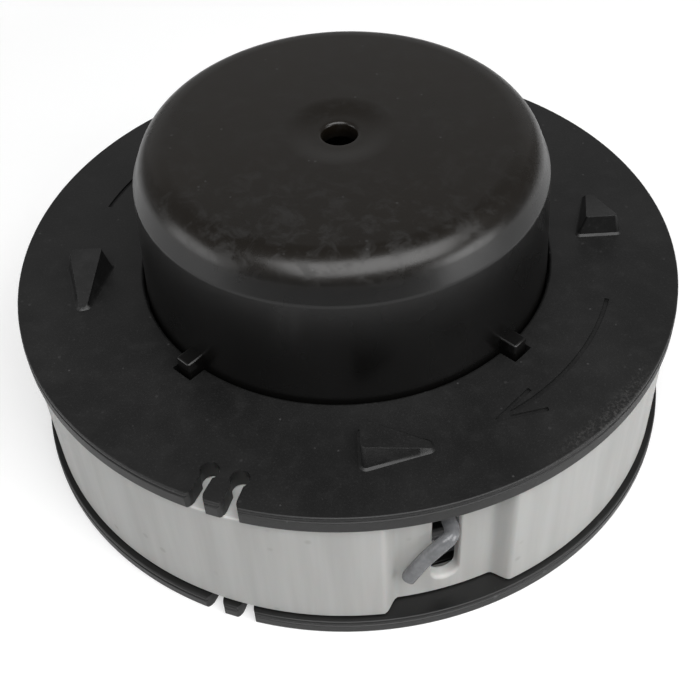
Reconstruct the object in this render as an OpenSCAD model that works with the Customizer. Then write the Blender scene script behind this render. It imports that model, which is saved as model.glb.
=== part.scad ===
// Trimmer head: a two-line spool with a sprung bump cap and a turning line guide ring.
// Lower flange at the bottom, cap on top, origin on the axis at the base, +Z up.

/* [Flanges] */
// Diameter of the upper flange
flange_d = 92; // [89:0.5:96]
// Thickness of the upper flange
flange_t = 2.8; // [2.2:0.1:4]
// Diameter of the lower flange
base_d = 92.8; // [91:0.2:98]
// Thickness of the lower flange at its rim
base_t = 2.3; // [1.8:0.1:3.2]
// Clear height between the two flanges
flange_gap = 19.5; // [18:0.5:24]
// Height of the centring rib that each flange carries for the guide ring
rib_h = 1.4; // [1:0.1:2]
// Depth of the fine groove round the edge of each flange
edge_groove = 0.3; // [0.2:0.05:0.5]

/* [Feed ramps] */
// Number of feed ramps on the upper flange
ramp_n = 4; // [2:1:6]
// Height of a ramp at its steep end
ramp_h = 3.5; // [2.5:0.1:4.5]
// Radius of the middle of a ramp
ramp_r = 36; // [35.5:0.1:37]
// Width of a ramp where it meets the flange
ramp_w = 7.2; // [6:0.1:7.6]
// Width of the ramp's top at the steep end
ramp_top_w = 4.4; // [3:0.1:5.5]
// Width of the ramp's low end
ramp_low_w = 2; // [1.2:0.1:3]
// Distance that the low end lies further out than the steep end's middle
ramp_low_shift = 1.2; // [0:0.1:2]
// Angle that a ramp covers round the axis
ramp_sweep = 14.5; // [10:0.5:20]

/* [Arrows] */
// Number of turning arrows on the upper flange
arrow_n = 2; // [1:1:2]
// Radius of an arrow's shaft
arrow_r = 36.8; // [35:0.1:38]
// Angle of an arrow's tail
arrow_tail = -20; // [-24:1:-18]
// Angle of an arrow's tip
arrow_tip = -62; // [-68:1:-56]
// Width of an arrow's grooves
arrow_w = 0.7; // [0.4:0.1:1]
// Depth of an arrow's grooves
arrow_depth = 0.3; // [0.2:0.05:0.6]
// Length of an arrow's barbs
barb_l = 6.6; // [4:0.2:8]
// Angle between a barb and the shaft
barb_angle = 17; // [12:1:30]

/* [Rim notches] */
// Angle of the middle of the first pair of keyhole notches
notch_angle = -112.4; // [-116:0.4:-108]
// Angle between the two notches of a pair
notch_step = 5.4; // [5:0.2:7]
// Distance from the rim to the notch hole's centre
notch_inset = 4.3; // [3.8:0.1:4.8]
// Diameter of the notch hole
notch_hole_d = 2.5; // [2.2:0.1:2.8]
// Width of the notch's mouth
notch_slot_w = 1.6; // [1.2:0.1:1.9]

/* [Drum and line] */
// Distance from the notches of the cap's ribs to the inside of the drum
drum_gap = 0.3; // [0.2:0.05:0.6]
// Wall of the drum
drum_wall = 1.6; // [1.2:0.1:1.8]
// Thickness of the wall between the two line chambers
divider_t = 1.5; // [1.2:0.1:2.2]
// Diameter of the cutting line
line_d = 2; // [1.6:0.1:2.2]
// Height of the upper line's cut end above the bottom of its slot
line_end_h = 3.6; // [3:0.1:5]

/* [Guide ring] */
// Distance from the edge of the upper flange in to the outside of the guide ring
ring_inset = 0.5; // [0.1:0.05:1]
// Wall of the guide ring
ring_wall = 1.8; // [1.4:0.1:2]
// Running clearance at each end and under the lips of the guide ring
ring_gap = 0.15; // [0.1:0.05:0.3]
// Thickness of the lip at each end of the guide ring
ring_lip_t = 1.2; // [1:0.1:1.6]
// Width of those lips, from the outside of the ring inwards
ring_lip_w = 5.3; // [5:0.1:6]
// Depth of a window's recess below the outside of the ring
window_depth = 2.2; // [1.8:0.1:2.2]
// Wall of the ring at a window's floor
window_wall = 1.6; // [1.4:0.1:1.8]
// Angle of the middle of the first window
window_angle = -76.2; // [-80:0.5:-72]
// Angle that a window's floor covers
window_floor_sweep = 16.6; // [14:0.2:20]
// Angle that each sloped side of a window covers
window_side_sweep = 2.3; // [1.5:0.1:3.5]
// Width of the line slot in a window
slot_w = 3.5; // [3.4:0.1:3.9]
// Depth of the flare along the slot's edge
slot_flare = 0.5; // [0.2:0.1:0.8]
// Distance from the lower end of the ring to the slot
slot_from = 2.8; // [2.4:0.1:4]
// Distance from the slot to the upper end of the ring
slot_to = 2.4; // [2:0.1:4]

/* [Bump cap] */
// Diameter of the cap where it leaves the upper flange
cap_d = 56.4; // [55:0.2:57]
// Height of the cap above the upper flange
cap_h = 20.7; // [18:0.1:26]
// Draft of the cap's side in degrees
cap_draft = 3; // [1:0.5:4]
// Wall of the cap's side
cap_wall = 2; // [1.4:0.1:2.6]
// Wall of the cap's top
cap_top_t = 2.2; // [1.6:0.1:3]
// Radius of the cap's upper edge
crown_r = 4.5; // [3:0.1:5]
// Slope of the band below the upper edge, in degrees from upright
crown_slope = 22; // [12:1:30]
// Length of the sloped band
crown_band = 2.2; // [1:0.1:3]
// Radius where the sloped band meets the side
crown_foot_r = 1; // [0.5:0.1:2]
// Diameter of the hole in the middle of the cap
eye_d = 4.6; // [3:0.1:6]
// Diameter of the shallow dish round the hole
dish_d = 15; // [10:0.5:20]
// Depth of the dish
dish_depth = 0.5; // [0.2:0.05:0.8]
// Number of guide ribs on the cap
key_n = 4; // [2:1:4]
// Width of a guide rib
key_w = 2.35; // [2:0.05:3]
// Reach of a guide rib beyond the cap's side
key_reach = 2.4; // [2:0.1:2.4]
// Height of a guide rib above the upper flange
key_h = 2; // [1:0.1:3]
// Clearance round a guide rib in its notch
key_gap = 0.5; // [0.4:0.05:0.6]
// Clearance between the cap and the hole in the upper flange
cap_gap = 0.3; // [0.3:0.05:0.5]
// Thickness of the lip that stops the cap under the flange
cap_lip_t = 1.6; // [1.2:0.1:2.4]
// Gap between that lip and the flange at rest
stop_gap = 0.2; // [0.1:0.05:0.4]

/* [Hub] */
// Diameter of the hub post
post_d = 19; // [18.4:0.1:20]
// Height of the hub post's top above the upper flange
post_rise = 5.4; // [4:0.1:8]
// Running clearance between the post and the cap's guide tube
post_gap = 0.1; // [0.06:0.02:0.2]
// Wall of the cap's guide tube
tube_wall = 1.6; // [1.2:0.1:2]
// Depth that the guide tube reaches down over the post at rest
tube_overlap = 9; // [7:0.5:11]
// Height of the raised middle of the lower flange above its rim
boss_rise = 1.5; // [1:0.1:2.5]
// Clearance between that raised middle and the drum
spigot_gap = 0.1; // [0.05:0.05:0.2]
// Diameter of the bore that the machine's shaft fits
shaft_d = 8.1; // [6:0.1:8.2]
// Wall of the metal bush in the hub
bush_wall = 2; // [1.5:0.1:2.5]
// Length of the metal bush
bush_l = 12; // [10:0.5:14]
// Clearance between the shaft and the hub's plastic above the bush
shaft_gap = 0.3; // [0.2:0.05:0.5]

/* [Shaft nut] */
// Thread diameter of the shaft nut
nut_thread_d = 8; // [6:0.5:8]
// Width of the shaft nut across its flats
nut_w = 13; // [12:0.1:13.4]
// Height of the shaft nut
nut_h = 6.5; // [5:0.1:7]
// Clearance round the nut in its pocket
nut_gap = 0.1; // [0.05:0.05:0.2]
// Thickness of the spring clip that keeps the nut in
clip_t = 1; // [0.8:0.1:1.4]
// Width of the clip's wire seen from above
clip_w = 1.4; // [1:0.1:1.8]
// Depth of the clip below the post's top
clip_sink = 0.8; // [0.6:0.1:1.2]

/* [Spring] */
// Wire of the cap's spring
wire_d = 1.5; // [1:0.1:1.8]
// Mean diameter of the spring
coil_d = 27; // [26.4:0.2:29]
// Working turns of the spring
coil_turns = 6; // [4:1:7]
// Thickness of the washer under the spring
seat_t = 1; // [0.6:0.1:1.6]
// Thickness of the dished ring on top of the spring
cup_t = 0.8; // [0.6:0.1:1.2]
// Depth of the spring collar below the inside of the cap
collar_h = 5; // [3:0.5:7]

/* [Base screws] */
// Number of screws that hold the lower flange
screw_n = 4; // [3:1:6]
// Distance from the inside of the drum to the middle of a base screw
screw_inset = 4.9; // [4.6:0.1:6.4]
// Thread diameter of a base screw
screw_d = 3; // [2.5:0.1:3.5]
// Length of a base screw under its head
screw_l = 9; // [7:0.5:10]
// Diameter of a base screw's head
screw_head_d = 5.6; // [5:0.1:6]
// Height of a base screw's head
screw_head_h = 1.6; // [1.2:0.1:1.8]
// Depth of a head below the underside of the lower flange
screw_sink = 0.3; // [0.2:0.05:0.4]
// Wall of a screw boss
screw_wall = 1.6; // [1.2:0.1:2]
// Clearance round a screw's thread and its head
screw_gap = 0.1; // [0.05:0.05:0.2]

/* [Hidden] */
$fn = 96;

plastic = [0.13, 0.13, 0.125];
white = [0.84, 0.84, 0.82];
clear_line = [0.62, 0.63, 0.64];
steel = [0.66, 0.67, 0.69];

// Levels along the axis
under_z = base_t + flange_gap;
flange_z = under_z + flange_t;
cap_z = flange_z + cap_h;
ceiling_z = cap_z - cap_top_t;
boss_z = base_t + boss_rise;
post_z = flange_z + post_rise;
divider_z = base_t + (flange_gap - divider_t) / 2;

// Radii round the axis
flange_r = flange_d / 2;
base_r = base_d / 2;
cap_r = cap_d / 2;
hole_r = cap_r + cap_gap;
key_r = cap_r + key_reach;
drum_in_r = key_r + key_gap + drum_gap;
drum_r = drum_in_r + drum_wall;
ring_r = flange_r - ring_inset;
ring_lip_r = ring_r - ring_lip_w;
window_r = ring_r - window_depth;
rib_r = ring_lip_r - ring_gap;
rib_wall = 1;
divider_r = min(window_r - window_wall, ring_r - ring_wall) - 0.5;
screw_r = drum_in_r - screw_inset;
post_r = post_d / 2;
tube_in_r = post_r + post_gap;
tube_r = tube_in_r + tube_wall;
shaft_r = shaft_d / 2;
bush_r = shaft_r + bush_wall;
clip_r = nut_w / 2 / cos(30) + nut_gap + 0.3;
nut_z = post_z - clip_sink - clip_t - nut_h - 0.1;
coil_r = coil_d / 2;
wire_r = wire_d / 2;
cup_r = coil_r + wire_r + 0.3;
collar_r = cup_r + cup_t;
line_r = line_d / 2;

// Line as wound: how many turns lie side by side, and how many layers fit inside the ring's lips
chamber_h = (flange_gap - divider_t) / 2;
line_turns = floor(chamber_h / line_d);
line_layers = floor((ring_lip_r - drum_r) / line_d);

// Lower and upper end of a line slot
slot_z0 = base_t + ring_gap + slot_from;
slot_z1 = under_z - ring_gap - slot_to;

// Small chamfer on moulded edges
edge = 0.4;
// Depth that a cut runs past the face it opens
cut = 0.01;

function at(r, a) = [r * cos(a), r * sin(a)];
function arc(c, r, a0, a1, n = 10) =
    [for (i = [0 : n]) c + at(r, a0 + (a1 - a0) * i / n)];

// Edge of a flange of radius r whose thickness runs from z0 up to z1
function flange_edge(r, z0, z1) = [
    [r - edge, z0],
    [r, z0 + edge],
    [r, z1 - 0.95],
    [r - edge_groove, z1 - 0.8],
    [r - edge_groove, z1 - 0.6],
    [r - 0.05, z1 - 0.45],
    [r - 0.12, z1 - 0.15],
    [r - edge, z1]
];

// Pairs of keyhole notches on opposite sides of the rim
module rim_notches(z0, z1) {
    half = notch_slot_w / 2;
    flare = 0.5;
    flare_l = 1;
    for (side = [0, 180], step = [-0.5, 0.5])
        rotate(side + notch_angle + step * notch_step)
            translate([flange_r - notch_inset, 0, z0]) {
                cylinder(d = notch_hole_d, h = z1 - z0, $fn = 32);
                linear_extrude(z1 - z0)
                    polygon([
                        [0, -half],
                        [notch_inset - flare_l, -half],
                        [notch_inset + 1.5 * flare_l, -half - flare],
                        [notch_inset + 1.5 * flare_l, half + flare],
                        [notch_inset - flare_l, half],
                        [0, half]
                    ]);
            }
}

// Ramp with a steep end at angle 0 that falls away anticlockwise
module feed_ramp() {
    root = flange_t / 5;
    soft = 0.2;
    hull() {
        rotate([90, 0, 0])
            translate([ramp_r, 0, -2 * cut])
                linear_extrude(4 * cut)
                    polygon([
                        [-ramp_w / 2, -root],
                        [-ramp_top_w / 2, ramp_h - soft],
                        [-ramp_top_w / 2 + 1.5 * soft, ramp_h],
                        [ramp_top_w / 2 - 1.5 * soft, ramp_h],
                        [ramp_top_w / 2, ramp_h - soft],
                        [ramp_w / 2, -root]
                    ]);
        rotate(ramp_sweep)
            translate([ramp_r + ramp_low_shift, 0, -root])
                cylinder(d = ramp_low_w, h = root + 0.1, $fn = 32);
    }
}

// Groove in the shape of an arrow that points clockwise
module arrow_groove() {
    translate([0, 0, flange_z - arrow_depth]) {
        rotate(arrow_tip)
            rotate_extrude(angle = arrow_tail - arrow_tip)
                translate([arrow_r - arrow_w / 2, 0])
                    square([arrow_w, 2 * arrow_depth]);
        rotate(arrow_tip)
            translate([arrow_r, 0, 0])
                for (lean = [-1, 1])
                    rotate(lean * barb_angle)
                        translate([-arrow_w / 2, 0, 0])
                            cube([arrow_w, barb_l, 2 * arrow_depth]);
    }
}

module spool_body() {
    color(plastic)
    difference() {
        union() {
            // Upper flange, drum and the wall between the chambers
            rotate_extrude()
                polygon(concat(
                    [[hole_r, under_z], [drum_in_r, under_z], [drum_in_r, base_t], [drum_r, base_t],
                     [drum_r, divider_z], [divider_r, divider_z],
                     [divider_r, divider_z + divider_t], [drum_r, divider_z + divider_t],
                     [drum_r, under_z], [rib_r - rib_wall, under_z], [rib_r - rib_wall, under_z - rib_h],
                     [rib_r, under_z - rib_h], [rib_r, under_z]],
                    flange_edge(flange_r, under_z, flange_z),
                    arc([hole_r + edge, flange_z - edge], edge, 90, 180, 4)
                ));
            for (i = [0 : ramp_n - 1])
                rotate(i * 360 / ramp_n)
                    translate([0, 0, flange_z])
                        feed_ramp();
            screw_bosses();
        }
        // Notches that the cap's ribs slide in
        for (i = [0 : key_n - 1])
            rotate(45 + i * 360 / key_n)
                translate([hole_r - 1, -key_w / 2 - key_gap, under_z - cut])
                    cube([key_r + key_gap - hole_r + 1, key_w + 2 * key_gap, flange_t + 1]);
        rim_notches(under_z - rib_h - 1, flange_z + 1);
        for (i = [0 : arrow_n - 1])
            rotate(i * 180)
                arrow_groove();
    }
}

// Bosses inside the drum that take the base screws
module screw_bosses() {
    boss_r = screw_d / 2 + screw_gap + screw_wall;
    boss_h = screw_l + screw_head_h + screw_sink + 1 - boss_z;
    for (i = [0 : screw_n - 1])
        rotate((i + 0.5) * 360 / screw_n)
            difference() {
                union() {
                    translate([screw_r, 0, boss_z])
                        cylinder(r = boss_r, h = boss_h, $fn = 48);
                    translate([screw_r, -1, boss_z])
                        cube([drum_in_r - screw_r + 0.5, 2, boss_h]);
                }
                translate([screw_r, 0, boss_z - 1])
                    cylinder(d = screw_d + 2 * screw_gap, h = boss_h + 0.2, $fn = 48);
            }
}

module base_plate() {
    head_r = screw_head_d / 2 + screw_gap;
    color(plastic)
    difference() {
        rotate_extrude()
            polygon(concat(
                [[0, 0]],
                flange_edge(base_r, 0, base_t),
                [[rib_r, base_t], [rib_r, base_t + rib_h], [rib_r - rib_wall, base_t + rib_h],
                 [rib_r - rib_wall, base_t], [drum_in_r - spigot_gap, base_t],
                 [drum_in_r - spigot_gap, boss_z], [post_r, boss_z], [post_r, post_z - edge],
                 [post_r - edge, post_z], [0, post_z]]
            ));
        // Seat of the bush, way through for the shaft, pocket of the nut and seat of its clip
        translate([0, 0, -cut])
            cylinder(r = bush_r, h = bush_l + cut);
        cylinder(r = shaft_r + shaft_gap, h = post_z + 1, $fn = 64);
        translate([0, 0, nut_z])
            cylinder(d = (nut_w + 2 * nut_gap) / cos(30), h = post_z, $fn = 6);
        translate([0, 0, post_z - clip_sink - clip_t - 0.05])
            cylinder(r = clip_r + 0.05, h = clip_t + 0.1);
        for (i = [0 : screw_n - 1])
            rotate((i + 0.5) * 360 / screw_n)
                translate([screw_r, 0, -cut]) {
                    cylinder(d = screw_d + 2 * screw_gap, h = boss_z + 1, $fn = 48);
                    cylinder(r = head_r, h = screw_sink + screw_head_h + cut, $fn = 48);
                }
        rim_notches(-1, base_t + rib_h + 1);
    }
}

module base_screws() {
    tip_l = 0.8;
    tip_d = screw_d - 1.2;
    recess_w = 0.7;
    recess_l = screw_head_d * 0.6;
    recess_depth = 1;
    color(steel)
    for (i = [0 : screw_n - 1])
        rotate((i + 0.5) * 360 / screw_n)
            translate([screw_r, 0, screw_sink])
                difference() {
                    union() {
                        cylinder(d = screw_head_d, h = screw_head_h, $fn = 48);
                        cylinder(d = screw_d, h = screw_head_h + screw_l - tip_l, $fn = 48);
                        translate([0, 0, screw_head_h + screw_l - tip_l])
                            cylinder(d1 = screw_d, d2 = tip_d, h = tip_l, $fn = 48);
                    }
                    // Cross recess
                    for (a = [0, 90])
                        rotate(a)
                            translate([-recess_l / 2, -recess_w / 2, -cut])
                                cube([recess_l, recess_w, recess_depth]);
                }
}

// Outline of the ring between its lips, with its two recessed windows
module ring_outline(inner_r) {
    half = window_floor_sweep / 2;
    side = window_side_sweep;
    beside = 1.6;
    difference() {
        union() {
            difference() {
                circle(ring_r, $fn = 180);
                circle(inner_r, $fn = 180);
            }
            for (a = [0, 180])
                rotate(window_angle + a)
                    intersection() {
                        difference() {
                            circle(ring_r, $fn = 180);
                            circle(window_r - window_wall, $fn = 180);
                        }
                        polygon([
                            at(window_r * 0.8, -half - beside),
                            at(ring_r * 1.02, -half - side - beside),
                            at(ring_r * 1.02, half + side + beside),
                            at(window_r * 0.8, half + beside)
                        ]);
                    }
        }
        for (a = [0, 180])
            rotate(window_angle + a)
                difference() {
                    polygon([at(window_r, -half), at(ring_r + 1, -half - side * (1 + 1 / window_depth)),
                        at(ring_r * 1.2, 0), at(ring_r + 1, half + side * (1 + 1 / window_depth)),
                        at(window_r, half), at(window_r * 0.97, 0)]);
                    circle(window_r, $fn = 180);
                }
    }
}

module guide_ring() {
    bottom = base_t + ring_gap;
    height = flange_gap - 2 * ring_gap;
    color(white)
    difference() {
        union() {
            translate([0, 0, bottom])
                linear_extrude(height)
                    ring_outline(ring_r - ring_wall);
            for (z = [bottom, bottom + height - ring_lip_t])
                translate([0, 0, z])
                    linear_extrude(ring_lip_t)
                        ring_outline(ring_lip_r);
        }
        for (a = [0, 180])
            rotate(window_angle + a)
                line_slot(slot_z0, slot_z1);
    }
}

// Upright slot with round ends and a flared edge
module line_slot(z0, z1) {
    half = slot_w / 2;
    in_x = window_r - window_wall - 1;
    out_x = window_r + 1;
    flare_x = window_r - slot_flare;
    for (z = [z0 + half, z1 - half])
        translate([0, 0, z])
            rotate([0, 90, 0]) {
                translate([0, 0, in_x])
                    cylinder(r = half, h = out_x - in_x, $fn = 48);
                translate([0, 0, flare_x])
                    cylinder(r1 = half, r2 = half + out_x - flare_x, h = out_x - flare_x, $fn = 48);
            }
    translate([0, 0, z0 + half])
        linear_extrude(z1 - z0 - slot_w)
            polygon([
                [in_x, -half],
                [flare_x, -half],
                [out_x, -half - out_x + flare_x],
                [out_x, half + out_x - flare_x],
                [flare_x, half],
                [in_x, half]
            ]);
}

// Turns of line wound side by side in the chamber that starts at z0
module winding(z0) {
    pitch = line_d * 0.99;
    wound = pitch * (line_turns - 1);
    low_r = drum_r + 0.02;
    top_r = low_r + line_d * (line_layers - 0.5);
    translate([0, 0, z0 + (chamber_h - wound) / 2])
        rotate_extrude() {
            translate([low_r, -line_r * 0.8])
                square([top_r - low_r, wound + 1.6 * line_r]);
            for (i = [0 : line_turns - 1])
                translate([top_r, i * pitch])
                    circle(line_r, $fn = 32);
        }
}

module upper_winding() {
    color(clear_line)
        winding(divider_z + divider_t);
}

module lower_winding() {
    color(clear_line)
        winding(base_t);
}

function unit(v) = v / norm(v);
function tangent(p, i) = unit(p[min(i + 1, len(p) - 1)] - p[max(i - 1, 0)]);

// Round rod of radius r along the points p, none of which runs upright
module rod(p, r, sides) {
    rings = [for (i = [0 : len(p) - 1])
        let (t = tangent(p, i), across = unit(cross(t, [0, 0, 1])), rise = cross(across, t))
            for (k = [0 : sides - 1])
                p[i] + r * (cos(360 * k / sides) * across + sin(360 * k / sides) * rise)];
    last = (len(p) - 1) * sides;
    walls = [for (i = [0 : len(p) - 2], k = [0 : sides - 1])
        let (next = (k + 1) % sides)
            [i * sides + k, i * sides + next, (i + 1) * sides + next, (i + 1) * sides + k]];
    polyhedron(rings, concat(
        walls,
        [[for (k = [sides - 1 : -1 : 0]) k]],
        [[for (k = [0 : sides - 1]) last + k]]
    ), convexity = 4);
}

// Route of the line end: angle from the window's middle, distance from the axis as a share
// from the winding (0) to its resting place on the window's floor (1), and height (0 to 1)
line_route = [[44, 0, 1], [38, 0, 0.98], [32, 0, 0.95], [26, 0, 0.91], [20, 0, 0.87], [14, 0, 0.83],
    [9, 0, 0.79], [6, 0.01, 0.77], [4.3, 0.02, 0.755], [3.2, 0.05, 0.745], [2.3, 0.08, 0.74],
    [1.6, 0.16, 0.735], [1.1, 0.28, 0.73], [0.9, 0.42, 0.72], [0.87, 0.58, 0.715], [0.8, 0.72, 0.71],
    [0.5, 0.9, 0.7], [-0.25, 1.03, 0.685], [-1.3, 1.08, 0.64], [-2.3, 1.08, 0.555],
    [-3.6, 1.07, 0.43], [-4.9, 1.05, 0.275], [-6.7, 1.01, 0]];
run_r = rib_r + 0.02;
rest_r = window_r + line_r + 0.15;
line_clear = 0.6;

function line_points(turn, z_low, z_high) =
    [for (q = line_route)
        let (r = run_r + (rest_r - run_r) * q[1], a = turn + q[0])
            [r * cos(a), r * sin(a), z_low + (z_high - z_low) * q[2]]];

module upper_line_end() {
    color(clear_line)
        rod(line_points(window_angle, slot_z0 + line_end_h, under_z - rib_h - line_r - line_clear),
            line_r, 10);
}

module lower_line_end() {
    color(clear_line)
        rod(line_points(window_angle + 180, base_t + rib_h + line_r, divider_z - line_r - line_clear),
            line_r, 10);
}

// Outer outline of the cap from its upper edge down to the flange
function crown() =
    let (
        drop = crown_r * (1 - sin(crown_slope)) + crown_band * cos(crown_slope)
            + crown_foot_r * (sin(crown_slope) - sin(cap_draft)),
        wall_r = cap_r - (cap_h - drop) * tan(cap_draft),
        shift = crown_r * cos(crown_slope) + crown_band * sin(crown_slope)
            + crown_foot_r * (cos(cap_draft) - cos(crown_slope)),
        c1 = [wall_r - shift, cap_z - crown_r],
        p1 = c1 + at(crown_r, crown_slope),
        p2 = p1 + crown_band * [sin(crown_slope), -cos(crown_slope)],
        c2 = p2 - at(crown_foot_r, crown_slope)
    )
    concat(
        arc(c1, crown_r, 90, crown_slope, 12),
        arc(c2, crown_foot_r, crown_slope, cap_draft, 4)
    );

module bump_cap() {
    lip_z = under_z - stop_gap;
    in_r = cap_r - cap_wall;
    top_in_r = in_r - cap_h * tan(cap_draft);
    ceiling_edge = 2.5;
    eye_edge = 0.5;
    dish_side = 2;
    rib_in = cap_r - cap_wall / 2 - key_h * tan(cap_draft);
    color(plastic) {
        rotate_extrude()
            polygon(concat(
                [[eye_d / 2, ceiling_z - dish_depth]],
                arc([eye_d / 2 + eye_edge, cap_z - dish_depth - eye_edge], eye_edge, 180, 90, 4),
                [[dish_d / 2 - dish_side, cap_z - dish_depth / 2], [dish_d / 2, cap_z]],
                crown(),
                [[cap_r, flange_z], [cap_r, lip_z], [key_r, lip_z],
                 [key_r, lip_z - cap_lip_t], [in_r, lip_z - cap_lip_t],
                 [in_r, flange_z], [top_in_r, ceiling_z - ceiling_edge],
                 [top_in_r - ceiling_edge, ceiling_z], [collar_r, ceiling_z],
                 [collar_r, ceiling_z - collar_h], [tube_r, ceiling_z - collar_h],
                 [tube_r, post_z - tube_overlap], [tube_in_r, post_z - tube_overlap],
                 [tube_in_r, ceiling_z - dish_depth]]
            ));
        // Ribs that slide in the flange's notches
        for (i = [0 : key_n - 1])
            rotate(45 + i * 360 / key_n)
                translate([rib_in, -key_w / 2, lip_z - cut])
                    cube([key_r - rib_in, key_w, flange_z + key_h - lip_z + cut]);
    }
}

// Spring with closed, ground ends between the washer and the cap's collar
module bump_spring() {
    low = boss_z + seat_t;
    high = ceiling_z - collar_h - cup_t;
    dead = 1;
    total = coil_turns + 2 * dead;
    lift = high - low - wire_d * 2 * dead - 0.1;
    steps = 18;
    points = [for (i = [0 : total * steps])
        let (
            turn = i / steps,
            z = low + wire_r * 0.6 + wire_d * (min(turn, dead) + max(0, turn - total + dead))
                + lift * max(0, min(1, (turn - dead) / coil_turns))
        )
            [coil_r * cos(360 * turn), coil_r * sin(360 * turn), z]];
    color(steel)
    intersection() {
        rod(points, wire_r, 8);
        translate([0, 0, low + 0.02])
            cylinder(r = coil_r * 2, h = high - low - 0.04, $fn = 24);
    }
}

module spring_washer() {
    seat_lead = 1;
    seat_gap = 0.2;
    color(steel)
        translate([0, 0, boss_z])
            difference() {
                cylinder(r = coil_r + wire_r + seat_lead, h = seat_t);
                translate([0, 0, -1])
                    cylinder(r = post_r + seat_gap, h = seat_t + 2);
            }
}

// Dished ring that keeps the spring's upper end centred under the cap's collar
module spring_cup() {
    top = ceiling_z - collar_h;
    in_r = tube_r + 0.1;
    color(steel)
        rotate_extrude()
            polygon([
                [in_r, top - cup_t],
                [cup_r, top - cup_t],
                [cup_r, top - cup_t - wire_d],
                [collar_r, top - cup_t - wire_d],
                [collar_r, top],
                [in_r, top]
            ]);
}

module drive_bush() {
    color(steel)
        difference() {
            cylinder(r = bush_r, h = bush_l);
            translate([0, 0, -1])
                cylinder(r = shaft_r, h = bush_l + 2);
        }
}

module shaft_nut() {
    face_r = nut_w / 2 - 0.1;
    corner_r = nut_w / 2 / cos(30) + 0.2;
    bevel = (corner_r - face_r) * tan(30);
    color(steel)
        translate([0, 0, nut_z])
            difference() {
                intersection() {
                    cylinder(d = nut_w / cos(30), h = nut_h, $fn = 6);
                    // Rounds the corners of both ends
                    rotate_extrude()
                        polygon([[0, 0], [face_r, 0], [corner_r, bevel],
                            [corner_r, nut_h - bevel], [face_r, nut_h], [0, nut_h]]);
                }
                translate([0, 0, -1])
                    cylinder(d = nut_thread_d, h = nut_h + 2);
            }
}

// Split ring of spring wire
module nut_clip() {
    split = 2;
    color(steel)
        translate([0, 0, post_z - clip_sink - clip_t])
            difference() {
                cylinder(r = clip_r, h = clip_t);
                translate([0, 0, -1])
                    cylinder(r = clip_r - clip_w, h = clip_t + 2);
                translate([0, -split / 2, -1])
                    cube([clip_r * 2, split, clip_t + 2]);
            }
}

spool_body();
base_plate();
base_screws();
guide_ring();
upper_winding();
lower_winding();
upper_line_end();
lower_line_end();
bump_cap();
bump_spring();
spring_washer();
spring_cup();
drive_bush();
shaft_nut();
nut_clip();
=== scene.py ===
import math

import bpy
from mathutils import Matrix, Vector


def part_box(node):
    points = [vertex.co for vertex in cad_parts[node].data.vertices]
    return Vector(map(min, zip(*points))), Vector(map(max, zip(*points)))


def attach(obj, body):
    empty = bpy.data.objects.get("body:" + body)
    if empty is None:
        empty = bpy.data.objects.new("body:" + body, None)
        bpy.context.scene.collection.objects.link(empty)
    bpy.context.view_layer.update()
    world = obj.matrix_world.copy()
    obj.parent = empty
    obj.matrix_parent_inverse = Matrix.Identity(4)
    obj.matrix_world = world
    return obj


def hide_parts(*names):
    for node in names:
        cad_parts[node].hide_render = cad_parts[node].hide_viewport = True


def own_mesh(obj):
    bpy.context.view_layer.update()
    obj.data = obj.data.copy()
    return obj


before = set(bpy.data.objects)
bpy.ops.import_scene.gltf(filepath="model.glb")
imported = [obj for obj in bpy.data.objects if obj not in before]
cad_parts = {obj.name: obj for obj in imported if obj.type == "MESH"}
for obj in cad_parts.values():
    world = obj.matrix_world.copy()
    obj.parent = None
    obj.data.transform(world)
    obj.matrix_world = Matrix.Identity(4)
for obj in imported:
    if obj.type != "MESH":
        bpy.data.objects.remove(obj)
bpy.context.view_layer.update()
mm = 0.001
print("frame loaded:", len(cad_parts), "nodes")

# Levels and radii that the pieces share, in mm, from the frame where it holds them
spoolLow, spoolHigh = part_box("spool_body")
baseLow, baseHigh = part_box("base_plate")
capLow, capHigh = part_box("bump_cap")
ringLow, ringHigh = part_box("guide_ring")
headSize = {
    "baseTop": spoolLow.z / mm,      # the drum stands on the rim of the lower flange
    "flangeThick": 2.8,
    "flangeR": spoolHigh.x / mm,
    "baseR": baseHigh.x / mm,
    "capTop": capHigh.z / mm,
    "capR": 28.2,
    "holeR": 28.5,
    "keyR": 30.6,
    "rampHigh": 3.5,
    "ringR": 45.5,
    "lipR": 40.2,
    "ribR": 40.05,
    "ribHigh": 1.4,
    "drumR": 33.0,
    "drumInR": 31.4,
}
headSize["flangeTop"] = spoolHigh.z / mm - headSize["rampHigh"]
headSize["flangeUnder"] = headSize["flangeTop"] - headSize["flangeThick"]


# Tools for the hands: selecting, spinning, cutting, finishing

def clearSelection():
    bpy.ops.object.select_all(action="DESELECT")


def holdOnly(piece):
    clearSelection()
    piece.select_set(True)
    bpy.context.view_layer.objects.active = piece


def pick(piece, kind, wanted):
    # Selects the vertices, edges or faces of the piece whose centre passes the test, in edit mode
    bpy.ops.mesh.select_mode(type=kind)
    bpy.ops.mesh.select_all(action="DESELECT")
    bpy.ops.object.mode_set(mode="OBJECT")
    mesh = piece.data
    if kind == "VERT":
        for vertex in mesh.vertices:
            vertex.select = wanted(vertex.co / mm)
    elif kind == "EDGE":
        for edge in mesh.edges:
            ends = [mesh.vertices[i].co / mm for i in edge.vertices]
            edge.select = wanted(ends[0], ends[1])
    else:
        for face in mesh.polygons:
            face.select = wanted(face.center / mm, face.normal)
    bpy.ops.object.mode_set(mode="EDIT")
    bpy.ops.mesh.select_mode(type=kind)


def shiftBy(across, along, up):
    bpy.ops.transform.translate(value=(across * mm, along * mm, up * mm))


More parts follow.
